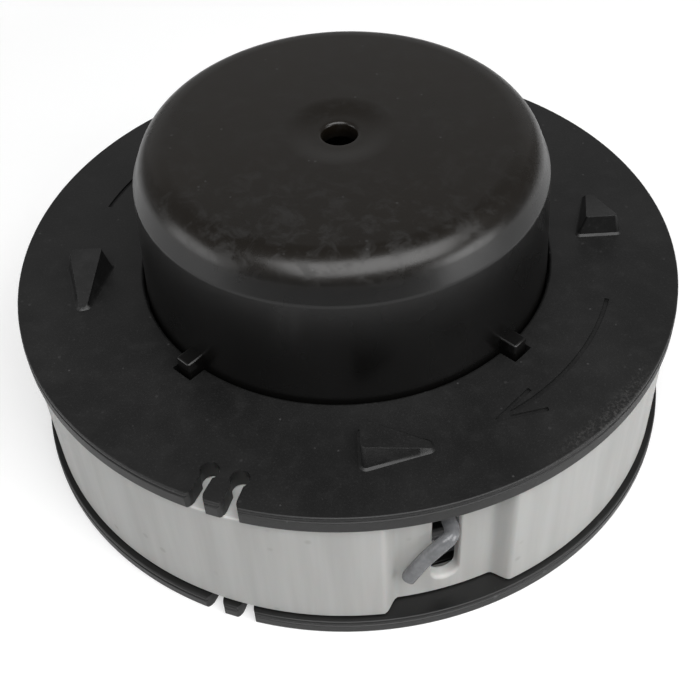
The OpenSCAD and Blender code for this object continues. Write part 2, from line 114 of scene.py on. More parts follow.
def closeUp():
    # Merges what meets and turns the faces outwards
    bpy.ops.mesh.select_mode(type="VERT")
    bpy.ops.mesh.select_all(action="SELECT")
    bpy.ops.mesh.remove_doubles(threshold=0.002 * mm)
    bpy.ops.mesh.normals_make_consistent(inside=False)
    bpy.ops.object.mode_set(mode="OBJECT")


def softCorners(corners, steps=5):
    # An outline from corners (x, y, radius): a corner with a radius becomes an arc
    points = []
    for i, (x, y, radius) in enumerate(corners):
        here = Vector((x, y))
        if radius == 0:
            points.append(here)
            continue
        back = (Vector(corners[i - 1][:2]) - here).normalized()
        ahead = (Vector(corners[(i + 1) % len(corners)][:2]) - here).normalized()
        half = back.angle(ahead) / 2
        middle = here + (back + ahead).normalized() * (radius / math.sin(half))
        first = here + back * (radius / math.tan(half)) - middle
        last = here + ahead * (radius / math.tan(half)) - middle
        turn = math.atan2(first.x * last.y - first.y * last.x, first.dot(last))
        count = max(2, round(abs(turn) / (math.pi / 2) * steps))
        for k in range(count + 1):
            a = turn * k / count
            points.append(middle + Vector((
                first.x * math.cos(a) - first.y * math.sin(a),
                first.x * math.sin(a) + first.y * math.cos(a),
            )))
    return points


def drawOutline(name, points, upright=True):
    # A closed line of vertices, drawn point by point by extruding; upright lies in XZ, flat in XY
    clearSelection()
    bpy.ops.mesh.primitive_plane_add(size=mm, location=(0, 0, 0))
    piece = bpy.context.active_object
    piece.name = piece.data.name = name
    bpy.ops.object.mode_set(mode="EDIT")
    bpy.ops.mesh.select_mode(type="VERT")
    bpy.ops.mesh.select_all(action="SELECT")
    bpy.ops.mesh.merge(type="CENTER")

    def place(p):
        return Vector((p[0], 0, p[1])) * mm if upright else Vector((p[0], p[1], 0)) * mm

    bpy.ops.transform.translate(value=place(points[0]))
    for here, ahead in zip(points, list(points[1:]) + [points[0]]):
        bpy.ops.mesh.extrude_vertices_move(
            TRANSFORM_OT_translate={"value": place(ahead) - place(here)}
        )
    bpy.ops.mesh.select_all(action="SELECT")
    bpy.ops.mesh.remove_doubles(threshold=0.002 * mm)
    return piece


def spinOutline(name, points, steps):
    # Turned piece: the outline goes once round the axis
    piece = drawOutline(name, points)
    bpy.ops.mesh.select_all(action="SELECT")
    bpy.ops.mesh.spin(steps=steps, angle=2 * math.pi, center=(0, 0, 0), axis=(0, 0, 1))
    closeUp()
    return piece


def raiseOutline(name, points, low, high):
    # Prism: a flat outline filled and pulled up from low to high
    piece = drawOutline(name, points, upright=False)
    bpy.ops.mesh.edge_face_add()
    shiftBy(0, 0, low)
    bpy.ops.mesh.extrude_region_move(TRANSFORM_OT_translate={"value": (0, 0, (high - low) * mm)})
    closeUp()
    return piece


def turnCopies(piece, angles):
    # One copy of the piece at each angle in degrees round the axis; the piece itself goes
    copies = []
    for angle in angles:
        holdOnly(piece)
        bpy.ops.object.duplicate()
        copy = bpy.context.active_object
        copy.rotation_euler.z = math.radians(angle)
        settle(copy)
        copies.append(copy)
    bpy.data.objects.remove(piece)
    return copies


def settle(piece):
    holdOnly(piece)
    bpy.ops.object.transform_apply(location=True, rotation=True, scale=True)


def joinAll(pieces, name):
    clearSelection()
    for piece in pieces:
        piece.select_set(True)
    bpy.context.view_layer.objects.active = pieces[0]
    if len(pieces) > 1:
        bpy.ops.object.join()
    pieces[0].name = pieces[0].data.name = name
    return pieces[0]


def applyModifier(piece, kind, **settings):
    holdOnly(piece)
    modifier = piece.modifiers.new(kind.title(), kind)
    for name, value in settings.items():
        setattr(modifier, name, value)
    bpy.ops.object.modifier_apply(modifier=modifier.name)


def combine(piece, other, how):
    applyModifier(piece, "BOOLEAN", operation=how, object=other, solver="EXACT")
    bpy.data.objects.remove(other)


def smoothOff(piece, angle=35):
    # Smooth where faces nearly line up, with large faces ruling the normals
    holdOnly(piece)
    bpy.ops.object.shade_smooth_by_angle(angle=math.radians(angle))
    applyModifier(piece, "WEIGHTED_NORMAL", mode="FACE_AREA", weight=50, keep_sharp=True)


def finishPiece(piece, name, body, nodes, material):
    piece.name = piece.data.name = name
    piece.data.materials.clear()
    piece.data.materials.append(material)
    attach(piece, body)
    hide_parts(*nodes)
    print("made", name, "with", len(piece.data.polygons), "faces")


# Materials

class Wire:
    def __init__(self, tree, socket=None):
        self.tree = tree
        self.socket = socket

    def node(self, kind, settings={}, inputs={}, output=0):
        made = self.tree.nodes.new(kind)
        for name, value in settings.items():
            if name == "stops":
                ramp = made.color_ramp
                for stop, (position, level) in enumerate(value):
                    if stop > 1:
                        ramp.elements.new(position)
                    ramp.elements[stop].position = position
                    ramp.elements[stop].color = (level, level, level, 1)
            else:
                setattr(made, name, value)
        for name, value in inputs.items():
            if isinstance(value, Wire):
                self.tree.links.new(value.socket, made.inputs[name])
            else:
                made.inputs[name].default_value = value
        return Wire(self.tree, made.outputs[output])

    def sum(self, operation, first, second):
        return self.node("ShaderNodeMath", {"operation": operation}, {0: first, 1: second})

    def __add__(self, other):
        return self.sum("ADD", self, other)

    def __radd__(self, other):
        return self.sum("ADD", other, self)

    def __sub__(self, other):
        return self.sum("SUBTRACT", self, other)

    def __rsub__(self, other):
        return self.sum("SUBTRACT", other, self)

    def __mul__(self, other):
        return self.sum("MULTIPLY", self, other)

    def __rmul__(self, other):
        return self.sum("MULTIPLY", other, self)

    def __pow__(self, other):
        return self.sum("POWER", self, other)


def startMaterial(name, **constants):
    # A Principled material, its settings that are the same all over, and a first wire: object coordinates
    material = bpy.data.materials.new(name)
    material.use_nodes = True
    tree = material.node_tree
    shader = tree.nodes["Principled BSDF"]
    for socket, value in constants.items():
        shader.inputs[socket.replace("_", " ")].default_value = value
    return material, shader, Wire(tree).node("ShaderNodeTexCoord", output=3)


def wireTo(shader, **sockets):
    for socket, wire in sockets.items():
        wire.tree.links.new(wire.socket, shader.inputs[socket.replace("_", " ")])


def noise(at, size, detail=2.0, roughness=0.5, distortion=0.0):
    # Cloudy noise from 0 to 1, whose patches are about size millimetres across
    return at.node("ShaderNodeTexNoise", {}, {
        "Vector": at, "Scale": 1 / (size * mm), "Detail": detail,
        "Roughness": roughness, "Distortion": distortion,
    })


def band(wire, low, high):
    # 0 below low, 1 above high, smooth between
    return wire.node("ShaderNodeMapRange", {"interpolation_type": "SMOOTHSTEP"}, {
        "Value": wire, "From Min": low, "From Max": high,
    })


def within(wire, middle, half, soft):
    # 1 near the middle value and 0 beyond half of a width, with soft sides
    distance = wire.node("ShaderNodeMath", {"operation": "ABSOLUTE"}, {0: wire - middle})
    return 1 - band(distance, half, half + soft)


def mixColours(factor, first, second):
    return factor.node("ShaderNodeMix", {"data_type": "RGBA"}, {0: factor, 6: first, 7: second}, output=2)


def specks(at, size, share, seed):
    # Small separate dots in a share of the cells of a Voronoi pattern
    moved = at.node("ShaderNodeVectorMath", {"operation": "ADD"}, {0: at, 1: (seed, 0.7 * seed, 0.3 * seed)})
    cell = {"Vector": moved, "Scale": 1 / (size * mm)}
    distance = at.node("ShaderNodeTexVoronoi", {}, cell)
    draw = at.node("ShaderNodeTexVoronoi", {}, cell, output=1)
    parts = draw.node("ShaderNodeSeparateColor", {}, {0: draw})
    return (1 - band(distance, 0.1, 0.28)) * band(parts, 1 - share, 1 - 0.8 * share)


def bump(height, depth, strength=1.0):
    # A Bump node: height 0 to 1 stands for depth millimetres
    return height.node("ShaderNodeBump", {}, {"Height": height, "Distance": depth * mm, "Strength": strength})


def splitPlace(at):
    # Radius and angle round the axis, and height, in mm and degrees
    split = at.tree.nodes.new("ShaderNodeSeparateXYZ")
    at.tree.links.new(at.socket, split.inputs[0])
    x, y, z = (Wire(at.tree, split.outputs[i]) for i in range(3))
    radius = (x * x + y * y) ** 0.5 * (1 / mm)
    angle = x.sum("ARCTAN2", y, x) * (180 / math.pi)
    return radius, angle, z * (1 / mm)


grey = lambda level, warm=0.0: (level * (1 + warm), level, level * (1 - warm), 1)


def blackMoulding():
    material, shader, at = startMaterial("blackMoulding", IOR=1.47)
    radius, angle, height = splitPlace(at)
    mottle = noise(at, 9, 4, 0.6)
    blotch = noise(at, 2.2, 3, 0.6)
    dust = specks(at, 1.1, 0.12, 0.4) * band(mottle, 0.42, 0.62)
    flecks = specks(at, 0.7, 0.012, 1.9)
    speckle = band(noise(at, 0.3, 3, 0.8), 0.52, 0.72)
    # Dusty strip and scuffs at the edge of the flange, right of the front
    scuffPlace = within(angle, -46, 4, 12) * within(radius, 45.2, 0.3, 1.6)
    scuff = scuffPlace * band(noise(at, 0.5, 6, 0.8, 0.8), 0.46, 0.66)
    colour = mixColours(band(mottle, 0.3, 0.75), grey(0.0048), grey(0.0085, 0.01))
    colour = mixColours(band(blotch, 0.5, 0.8) * 0.5, colour, grey(0.014))
    colour = mixColours(speckle * (0.25 + 0.5 * mottle), colour, grey(0.03))
    colour = mixColours(dust * 0.3, colour, grey(0.06))
    colour = mixColours(flecks * 0.4, colour, grey(0.1))
    colour = mixColours(scuff * 0.6, colour, grey(0.07, 0.03))
    grain = noise(at, 0.32, 2, 0.6)
    surface = bump(grain, 0.02, 0.5)
    wireTo(shader, Base_Color=colour, Normal=surface,
           Roughness=0.3 + 0.16 * mottle + 0.16 * blotch + 0.2 * scuff)
    return material


def shadedLowerMoulding():
    material, shader, at = startMaterial("shadedLowerMoulding", IOR=1.47)
    mottle = noise(at, 8, 4, 0.6)
    # Darker base colour than blackMoulding: painted shade, for the lower flange standing in shadow; the light specks
    # are dust
    colour = mixColours(band(mottle, 0.3, 0.75), grey(0.003), grey(0.006, 0.02))
    colour = mixColours(specks(at, 1.4, 0.1, 2.3) * 0.4, colour, grey(0.09))
    wireTo(shader, Base_Color=colour, Normal=bump(noise(at, 0.32, 2, 0.6), 0.016, 0.5),
           Roughness=0.32 + 0.16 * mottle)
    return material


def capMoulding():
    material, shader, at = startMaterial("capMoulding", IOR=1.5)
    radius, angle, height = splitPlace(at)
    cloud = noise(at, 14, 3, 0.55)
    onTop = band(height, 41.5, 44.5)
    dots = specks(at, 0.8, 0.03, 3.1) * onTop
    # Lighter mottled patches on the front of the top: partly real grease, partly painted sheen for the broad gloss of
    # light on the top's front
    greaseAndSheenPlace = onTop * (0.4 + 0.6 * within(angle, -100, 30, 40) * band(radius, 8, 18))
    greaseAndSheen = greaseAndSheenPlace * band(noise(at, 2.6, 6, 0.7, 0.5), 0.46, 0.66)
    fine = noise(at, 0.6, 3, 0.7)
    warmth = mixColours(onTop * (0.5 + 0.5 * cloud), grey(0.0028, 0.05), grey(0.0055, 0.4))
    colour = mixColours(greaseAndSheen * 0.6, warmth, grey(0.017, 0.05))
    colour = mixColours(dots * 0.4, colour, grey(0.06))
    wireTo(shader, Base_Color=colour, Normal=bump(fine, 0.012, 0.5),
           Roughness=0.24 + 0.08 * cloud + 0.2 * greaseAndSheen)
    return material


def whiteMoulding():
    material, shader, at = startMaterial("whiteMoulding", IOR=1.46, Subsurface_Weight=0.08,
                                         Subsurface_Scale=0.002)
    radius, angle, height = splitPlace(at)
    around = at.node("ShaderNodeCombineXYZ", {}, {0: angle * 0.055, 1: height * 0.004, 2: 0.0})
    streaks = around.node("ShaderNodeTexNoise", {}, {"Vector": around, "Scale": 5.0, "Detail": 4.0})
    cloud = noise(at, 16, 3, 0.5)
    colour = mixColours(band(streaks, 0.3, 0.7), (0.52, 0.52, 0.505, 1), (0.60, 0.60, 0.585, 1))
    colour = mixColours(band(cloud, 0.5, 0.8) * 0.25, colour, (0.50, 0.49, 0.46, 1))
    colour = mixColours(specks(at, 2.4, 0.1, 1.3) * 0.3, colour, (0.25, 0.24, 0.22, 1))
    wireTo(shader, Base_Color=colour, Normal=bump(noise(at, 1.1, 2, 0.5), 0.01, 0.5),
           Roughness=0.4 + 0.1 * cloud)
    return material


def nylonLine():
    material, shader, at = startMaterial("nylonLine", IOR=1.53, Transmission_Weight=0.45)
    cloud = noise(at, 1.2, 3, 0.6)
    colour = mixColours(band(cloud, 0.35, 0.7), (0.24, 0.245, 0.255, 1), (0.33, 0.335, 0.35, 1))
    wireTo(shader, Base_Color=colour, Normal=bump(noise(at, 0.5, 2, 0.5), 0.02, 0.6),
           Roughness=0.14 + 0.14 * cloud)
    return material


def metal(name, tint, rough, wear):
    # Plated, drawn or turned metal: fine marks and duller patches
    material, shader, at = startMaterial(name)
    patches = noise(at, 3, 4, 0.6)
    marks = noise(at, 0.15, 2, 0.6)
    darker = tuple(0.72 * c for c in tint[:3]) + (1,)
    wireTo(shader, Base_Color=mixColours(band(patches, 0.4, 0.75) * wear, tint, darker),
           Roughness=rough + 0.16 * patches, Metallic=1 - 0.12 * band(patches, 0.6, 0.9),
           Normal=bump(marks, 0.008, 0.5))
    return material


finish = {
    "black": blackMoulding(),
    # darker copy of the black moulding whose darker colour is painted shade
    "lower": shadedLowerMoulding(),
    "cap": capMoulding(),
    "white": whiteMoulding(),
    "nylon": nylonLine(),
    "zinc": metal("zincPlate", (0.62, 0.63, 0.64, 1), 0.28, 0.5),
    "springWire": metal("springWire", (0.34, 0.34, 0.35, 1), 0.3, 0.6),
    "sheet": metal("pressedSheet", (0.55, 0.56, 0.57, 1), 0.32, 0.5),
    "brass": metal("turnedBrass", (0.71, 0.53, 0.25, 1), 0.24, 0.5),
}
print("materials made:", len(finish))


# Camera, floor and light

cameraPlace = {
    "at": (-0.551, -123.093, 134.253),
    "right": (0.99840215, -0.04263411, -0.03708738),
    "up": (0.0564474, 0.72210904, 0.68947242),
    "lens": 59.76,
}
cameraData = bpy.data.cameras.new("photoCamera")
cameraData.lens = cameraPlace["lens"]
cameraData.clip_start, cameraData.clip_end = 0.005, 20
camera = bpy.data.objects.new("photoCamera", cameraData)
bpy.context.scene.collection.objects.link(camera)
right, up = Vector(cameraPlace["right"]), Vector(cameraPlace["up"])
turned = Matrix((right, up, right.cross(up))).transposed().to_4x4()
camera.matrix_world = Matrix.Translation(Vector(cameraPlace["at"]) * mm) @ turned
bpy.context.scene.camera = camera

studio = {
    "floorSize": 6.0,
    "floorGrey": 0.78,
    "floorGlow": 0.3,        # seen by the camera only, so that the paper is white and keeps its shadow
    "shadowR": 120,          # in mm: the glow rises to full between here and whiteR, beyond the shadow
    "whiteR": 320,
    "floorMirror": 0.04,     # what gloss sees of the floor, since the photographed part stood on a dark table
    "airGrey": 0.2,
    "airMirror": 0.13,
    "window": {"at": (0.1, -0.36, 0.62), "size": (1.0, 0.52), "watts": 6.6},
    "backSky": {"at": (0.0, 0.62, 0.32), "size": (1.3, 0.45), "watts": 0.3},
    "leftFill": {"at": (-0.6, -0.12, 0.16), "size": (0.4, 0.28), "watts": 0.85},
    "rightFill": {"at": (0.55, -0.3, 0.14), "size": (0.35, 0.24), "watts": 1.2},
}


def aimLamp(name, place):
    data = bpy.data.lights.new(name, "AREA")
    data.shape = "RECTANGLE"
    data.size, data.size_y = place["size"]
    data.energy = place["watts"]
    lamp = bpy.data.objects.new(name, data)
    bpy.context.scene.collection.objects.link(lamp)
    lamp.location = place["at"]
    lamp.rotation_euler = (Vector((0, 0, 0.02)) - lamp.location).to_track_quat("-Z", "Y").to_euler()


def layFloor():
    clearSelection()
    bpy.ops.mesh.primitive_plane_add(size=studio["floorSize"], location=(0, 0, -0.02 * mm))
    floor = bpy.context.active_object
    floor.name = "floor"
    material = bpy.data.materials.new("paper")
    material.use_nodes = True
    tree = material.node_tree
    tree.nodes.clear()
    start = Wire(tree)
    seen = start.node("ShaderNodeLightPath")
    gloss = start.node("ShaderNodeLightPath", output=2)
    level = studio["floorGrey"] + gloss * (studio["floorMirror"] - studio["floorGrey"])
    paper = start.node("ShaderNodeBsdfDiffuse", {}, {"Color": level})
    radius, angle, height = splitPlace(start.node("ShaderNodeTexCoord", output=3))
    level = studio["floorGlow"] + (1 - studio["floorGlow"]) * band(radius, studio["shadowR"], studio["whiteR"])
    glow = start.node("ShaderNodeEmission", {}, {"Color": level, "Strength": seen * 1.0})
    both = start.node("ShaderNodeAddShader", {}, {0: paper, 1: glow})
    out = tree.nodes.new("ShaderNodeOutputMaterial")
    tree.links.new(both.socket, out.inputs["Surface"])
    floor.data.materials.append(material)


def lightAir():
    world = bpy.data.worlds.new("air")
    bpy.context.scene.world = world
    world.use_nodes = True
    tree = world.node_tree
    tree.nodes.clear()
    start = Wire(tree)
    seen = start.node("ShaderNodeLightPath")
    gloss = start.node("ShaderNodeLightPath", output=2)
    level = (studio["airGrey"] + seen * (1 - studio["airGrey"])
             + gloss * (studio["airMirror"] - studio["airGrey"]))
    air = start.node("ShaderNodeBackground", {}, {"Color": grey(1.0), "Strength": level})
    out = tree.nodes.new("ShaderNodeOutputWorld")
    tree.links.new(air.socket, out.inputs["Surface"])


for lamp in ("window", "backSky", "leftFill", "rightFill"):
    aimLamp(lamp, studio[lamp])
layFloor()
lightAir()
bpy.context.scene.view_settings.view_transform = "Standard"
print("camera, floor and light placed")


# Flange edge with its fine groove, shared by both flanges: corners from the underside up to the top

def flangeEdge(r, low, high):
    return [
        (r, low, 0.35), (r, high - 0.86, 0.08), (r - 0.32, high - 0.74, 0.06), (r - 0.32, high - 0.6, 0.06),
        (r - 0.04, high - 0.48, 0.08), (r - 0.1, high, 0.28), (r - 1.2, high, 0),
    ]


notch = {"angle": -112.4, "step": 5.4, "inset": 4.3, "holeR": 1.25, "halfSlot": 0.8, "flare": 0.55, "flareLong": 1.3}


def rimNotches(name, rimR, low, high):
    # Keyhole cutters, open to the rim, in two pairs
    middle = headSize["flangeR"] - notch["inset"]
    reach = math.asin(notch["halfSlot"] / notch["holeR"])
    arc = []
    for k in range(19):
        a = reach + (2 * math.pi - 2 * reach) * k / 18
        arc.append((middle + notch["holeR"] * math.cos(a), notch["holeR"] * math.sin(a)))
    mouth = []
    for k in range(9):
        share = k / 6
        half = notch["halfSlot"] + notch["flare"] * min(share, 1) ** 2
        mouth.append((rimR + notch["flareLong"] * (share - 1), -half))
    outline = [Vector(p) for p in arc + mouth + [(x, -y) for x, y in reversed(mouth)]]
    cutter = raiseOutline(name, outline, low, high)
    return turnCopies(cutter, [notch["angle"] + side + lean * notch["step"]
                               for side in (0, 180) for lean in (-0.5, 0.5)])


# Spool: upper flange with ramps, arrows and notches, drum and dividing wall

ramp = {"inR": 32.4, "outR": 39.6, "lowR": 37.2, "lowWide": 2.0, "sweep": 14.5, "skirt": 0.35, "soft": 0.22}
arrow = {"r": 36.8, "tail": -20, "tip": -62, "wide": 0.62, "deep": 0.32, "barb": 6.6, "lean": 17}


def feedRamps():
    # Base outline with a skirt, walls drawn up, top tilted down to the low end
    top = headSize["flangeTop"]
    sweep = math.radians(ramp["sweep"])
    middle, half = ramp["lowR"], ramp["lowWide"] / 2
    low = [Vector((r * math.cos(sweep), r * math.sin(sweep))) for r in (middle + half, middle - half)]
    outline = softCorners([
        (ramp["inR"], 0, 0.7), (ramp["outR"], 0, 0.9), (low[0].x + 0.5, low[0].y - 2.0, 6),
        (low[0].x, low[0].y, 0.9), (low[1].x, low[1].y, 0.9),
    ], 6)
    piece = raiseOutline("ramp", outline, top - 0.6, top - 0.02)
    holdOnly(piece)
    bpy.ops.object.mode_set(mode="EDIT")
    pick(piece, "FACE", lambda centre, normal: normal.z > 0.9)
    bpy.ops.mesh.inset(thickness=ramp["skirt"] * mm, depth=ramp["skirt"] * 0.75 * mm)
    bpy.ops.mesh.extrude_region_move(TRANSFORM_OT_translate={"value": (0, 0, 0.02 * mm)})
    # The top leans up about the low end, and narrows away from its own outer side
    bpy.ops.transform.resize(value=(0.72, 1, 1), center_override=Vector((36.2, 0, top)) * mm)
    bpy.ops.object.mode_set(mode="OBJECT")
    rise = headSize["rampHigh"] - 0.3
    length = low[1].y
    for vertex in piece.data.vertices:
        if vertex.co.z > (top + 0.2) * mm and vertex.select:
            share = 1 - vertex.co.y / mm / length
            vertex.co.z += max(0, min(1, share)) * rise * mm
    bpy.ops.object.mode_set(mode="EDIT")
    pick(piece, "FACE", lambda centre, normal: centre.z > top + 0.5 and normal.z > 0.6)
    bpy.ops.mesh.region_to_loop()
    bpy.ops.mesh.bevel(offset=ramp["soft"] * mm, segments=3, affect="EDGES", clamp_overlap=True)
    closeUp()
    return joinAll(turnCopies(piece, [0, 90, 180, 270]), "ramps")


def arrowCutters():
    # Shaft, then the two barbs, each set cut on its own because they meet at the tip
    top = headSize["flangeTop"]
    low, high = top - arrow["deep"], top + 1
    half = arrow["wide"] / 2
    steps = 24
    sweep = [math.radians(arrow["tip"] + (arrow["tail"] - arrow["tip"]) * k / steps) for k in range(steps + 1)]
    outer = [Vector(((arrow["r"] + half) * math.cos(a), (arrow["r"] + half) * math.sin(a))) for a in sweep]
    inner = [Vector(((arrow["r"] - half) * math.cos(a), (arrow["r"] - half) * math.sin(a))) for a in reversed(sweep)]
    sets = [turnCopies(raiseOutline("shaft", outer + inner, low, high), [0, 180])]
    for lean in (-1, 1):
        barb = raiseOutline("barb", [Vector(p) for p in (
            (-half, -0.1), (half, -0.1), (half, arrow["barb"]), (-half, arrow["barb"]))], low, high)
        barb.rotation_euler.z = math.radians(lean * arrow["lean"])
        settle(barb)
        barb.location.x = arrow["r"] * mm
        settle(barb)
        sets.append(turnCopies(barb, [arrow["tip"], arrow["tip"] + 180]))
    return sets


def spoolMoulding():
    size = headSize
    top, under, low = size["flangeTop"], size["flangeUnder"], size["baseTop"]
    divider = low + (under - low - 1.5) / 2
    outline = softCorners([
        (size["holeR"], under, 0.2), (size["drumInR"], under, 0.3), (size["drumInR"], low, 0),
        (size["drumR"], low, 0), (size["drumR"], divider, 0.3), (41.2, divider, 0.5),
        (41.2, divider + 1.5, 0.5), (size["drumR"], divider + 1.5, 0.3), (size["drumR"], under, 0.4),
        (size["ribR"] - 1, under, 0.1), (size["ribR"] - 1, under - size["ribHigh"], 0.15),
        (size["ribR"], under - size["ribHigh"], 0.15), (size["ribR"], under, 0.1),
        *flangeEdge(size["flangeR"], under, top), (size["holeR"] + 1.4, top, 0), (size["holeR"], top, 0.42),
    ])
    piece = spinOutline("spool", outline, 288)
    combine(piece, feedRamps(), "UNION")
    bosses = []
    for k in range(4):
        a = math.radians(45 + 90 * k)
        at = Vector((26.5 * math.cos(a), 26.5 * math.sin(a), 0))
        boss = spinOutline("boss", softCorners([
            (1.6, low + 1.5, 0), (3.2, low + 1.5, 0), (3.2, 11.9, 0.4), (1.6, 11.9, 0.2)]), 32)
        boss.location = at * mm
        settle(boss)
        bosses.append(boss)
    keys = []
    for k in range(4):
        clearSelection()
        bpy.ops.mesh.primitive_cube_add(size=1, location=((29.3) * mm, 0, (top - 0.5) * mm),
                                        scale=(3.6 * mm, 3.35 * mm, 6 * mm))
        key = bpy.context.active_object
        settle(key)
        keys += turnCopies(key, [45 + 90 * k])
    shaft, barbLeft, barbRight = arrowCutters()
    cutters = keys + rimNotches("notch", size["flangeR"], under - 4, top + 3) + shaft
    combine(piece, joinAll(cutters, "cutters"), "DIFFERENCE")
    combine(piece, joinAll(barbLeft, "barbs"), "DIFFERENCE")
    combine(piece, joinAll(barbRight, "barbs"), "DIFFERENCE")
    piece = joinAll([piece] + bosses, "spool")
    smoothOff(piece)
    finishPiece(piece, "spoolMoulding", "spool", ["spool_body"], finish["black"])


spoolMoulding()


# Lower flange with its raised middle, hub post, screw seats and notches

hub = {"postR": 9.5, "postTop": 30.0, "bushR": 6.05, "bushLong": 12, "wayR": 4.35, "nutWide": 13.2,
       "nutLow": 21.6, "clipR": 7.96, "clipLow": 28.15, "clipHigh": 29.25, "screwR": 26.5}


def basePlate():
    size = headSize
    rise = size["baseTop"] + 1.5
    outline = softCorners([
        *flangeEdge(size["baseR"], 0, size["baseTop"]),
        (size["ribR"], size["baseTop"], 0.1), (size["ribR"], size["baseTop"] + size["ribHigh"], 0.15),
        (size["ribR"] - 1, size["baseTop"] + size["ribHigh"], 0.15), (size["ribR"] - 1, size["baseTop"], 0.1),
        (size["drumInR"] - 0.1, size["baseTop"], 0), (size["drumInR"] - 0.1, rise, 0.3),
        (hub["postR"], rise, 0.5), (hub["postR"], hub["postTop"], 0.5),
        (hub["clipR"] - 0.35, hub["postTop"], 0), (hub["clipR"] - 0.35, hub["clipHigh"], 0),
        (hub["clipR"], hub["clipHigh"], 0), (hub["clipR"], hub["clipLow"], 0),
        (hub["wayR"], hub["clipLow"], 0), (hub["wayR"], hub["bushLong"], 0),
        (hub["bushR"], hub["bushLong"], 0), (hub["bushR"], 0, 0.3),
    ])
    piece = spinOutline("base", outline, 288)
    pocket = raiseOutline("pocket", [
        Vector((math.cos(math.radians(60 * k)), math.sin(math.radians(60 * k)))) * hub["nutWide"] / 2
        / math.cos(math.pi / 6) for k in range(6)], hub["nutLow"], hub["clipLow"] + 0.5)
    seats = []
    for k in range(4):
        a = math.radians(45 + 90 * k)
        seat = spinOutline("seat", [Vector(p) for p in (
            (0.02, -1), (3.15, -1), (2.9, 0.25), (2.9, 1.9), (1.6, 1.9), (1.6, rise + 1), (0.02, rise + 1))], 32)
        seat.location = Vector((math.cos(a), math.sin(a), 0)) * hub["screwR"] * mm
        settle(seat)
        seats.append(seat)
    notches = rimNotches("notch", size["baseR"], -2, size["baseTop"] + 4)
    combine(piece, joinAll([pocket] + seats + notches, "cutters"), "DIFFERENCE")
    smoothOff(piece)
    # the lower flange takes the darker moulding, whose darker colour is painted shade
    finishPiece(piece, "basePlate", "spool", ["base_plate"], finish["lower"])


basePlate()


# Bump cap

cap = {"draft": 3, "wall": 2, "topThick": 2.2, "crownR": 4.5, "slope": 22, "band": 2.2, "footR": 1.6,
       "eyeR": 2.3, "eyeSoft": 0.5, "dishR": 7.5, "dishDeep": 0.5, "lipLow": 20.0, "lipHigh": 21.6,
       "tubeInR": 9.6, "tubeR": 11.2, "tubeLow": 21.0, "collarR": 15.35, "collarLow": 38.1,
       "keyWide": 2.35, "keyTop": 26.6}


def crownArcs():
    # Two arcs and a straight band from the flat top down to the drafted side
    def at(r, a):
        return Vector((r * math.cos(a), r * math.sin(a)))

    slope, draft = math.radians(cap["slope"]), math.radians(cap["draft"])
    rise = headSize["capTop"] - headSize["flangeTop"]
    drop = (cap["crownR"] * (1 - math.sin(slope)) + cap["band"] * math.cos(slope)
            + cap["footR"] * (math.sin(slope) - math.sin(draft)))
    wallR = headSize["capR"] - (rise - drop) * math.tan(draft)
    shift = (cap["crownR"] * math.cos(slope) + cap["band"] * math.sin(slope)
             + cap["footR"] * (math.cos(draft) - math.cos(slope)))
    middle = Vector((wallR - shift, headSize["capTop"] - cap["crownR"]))
    upper = [middle + at(cap["crownR"], math.pi / 2 + (slope - math.pi / 2) * k / 14) for k in range(15)]
    foot = upper[-1] + cap["band"] * Vector((math.sin(slope), -math.cos(slope))) - at(cap["footR"], slope)
    lower = [foot + at(cap["footR"], slope + (draft - slope) * k / 6) for k in range(7)]
    return upper + lower


def dishPoints():
    # Shallow dish round the eye, as a cosine that meets the flat top without a crease
    points = []
    for k in range(9):
        share = k / 8
        r = cap["eyeR"] + cap["eyeSoft"] + (cap["dishR"] - cap["eyeR"] - cap["eyeSoft"]) * share
        points.append(Vector((r, headSize["capTop"] - cap["dishDeep"] * (1 + math.cos(math.pi * share)) / 2)))
    return points


